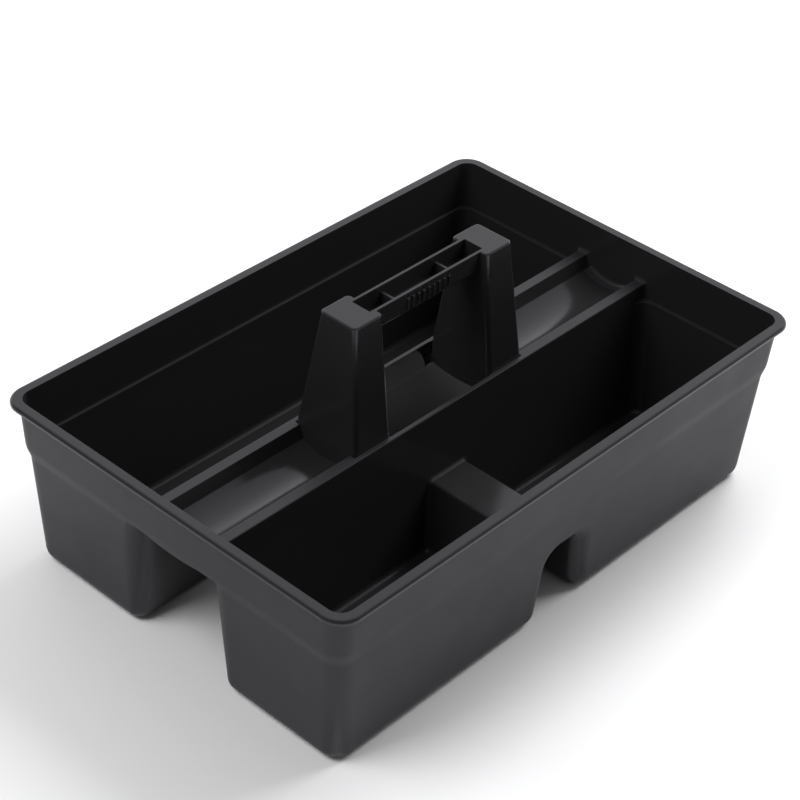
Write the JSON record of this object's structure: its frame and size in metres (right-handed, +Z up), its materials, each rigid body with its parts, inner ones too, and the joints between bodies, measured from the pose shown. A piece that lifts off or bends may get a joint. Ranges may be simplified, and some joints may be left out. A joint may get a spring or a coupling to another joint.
{
  "type": "cleaning caddy",
  "caption": "Moulded plastic cleaning caddy: a long rear bin, a front bin divided into wells by a saddle, a shallow centre trough and a raised carrying handle on tapered posts.",
  "frame": {"origin": "centre of the bounding box in plan, on the floor the caddy stands on", "axes": "+X along the caddy's length and its grip, +Y from the divided front bin to the long back bin, +Z up"},
  "size_m": [0.41, 0.276, 0.1795],
  "materials": {
    "tub_plastic": "black moulded polypropylene, satin outside and glossy inside",
    "handle_plastic": "black moulded polypropylene, satin to glossy",
    "screw_steel": "zinc-plated steel"
  },
  "bodies": {
    "root": {"tub": "tub_plastic", "handle": "handle_plastic", "handle_screws": "screw_steel"}
  },
  "joints": []
}
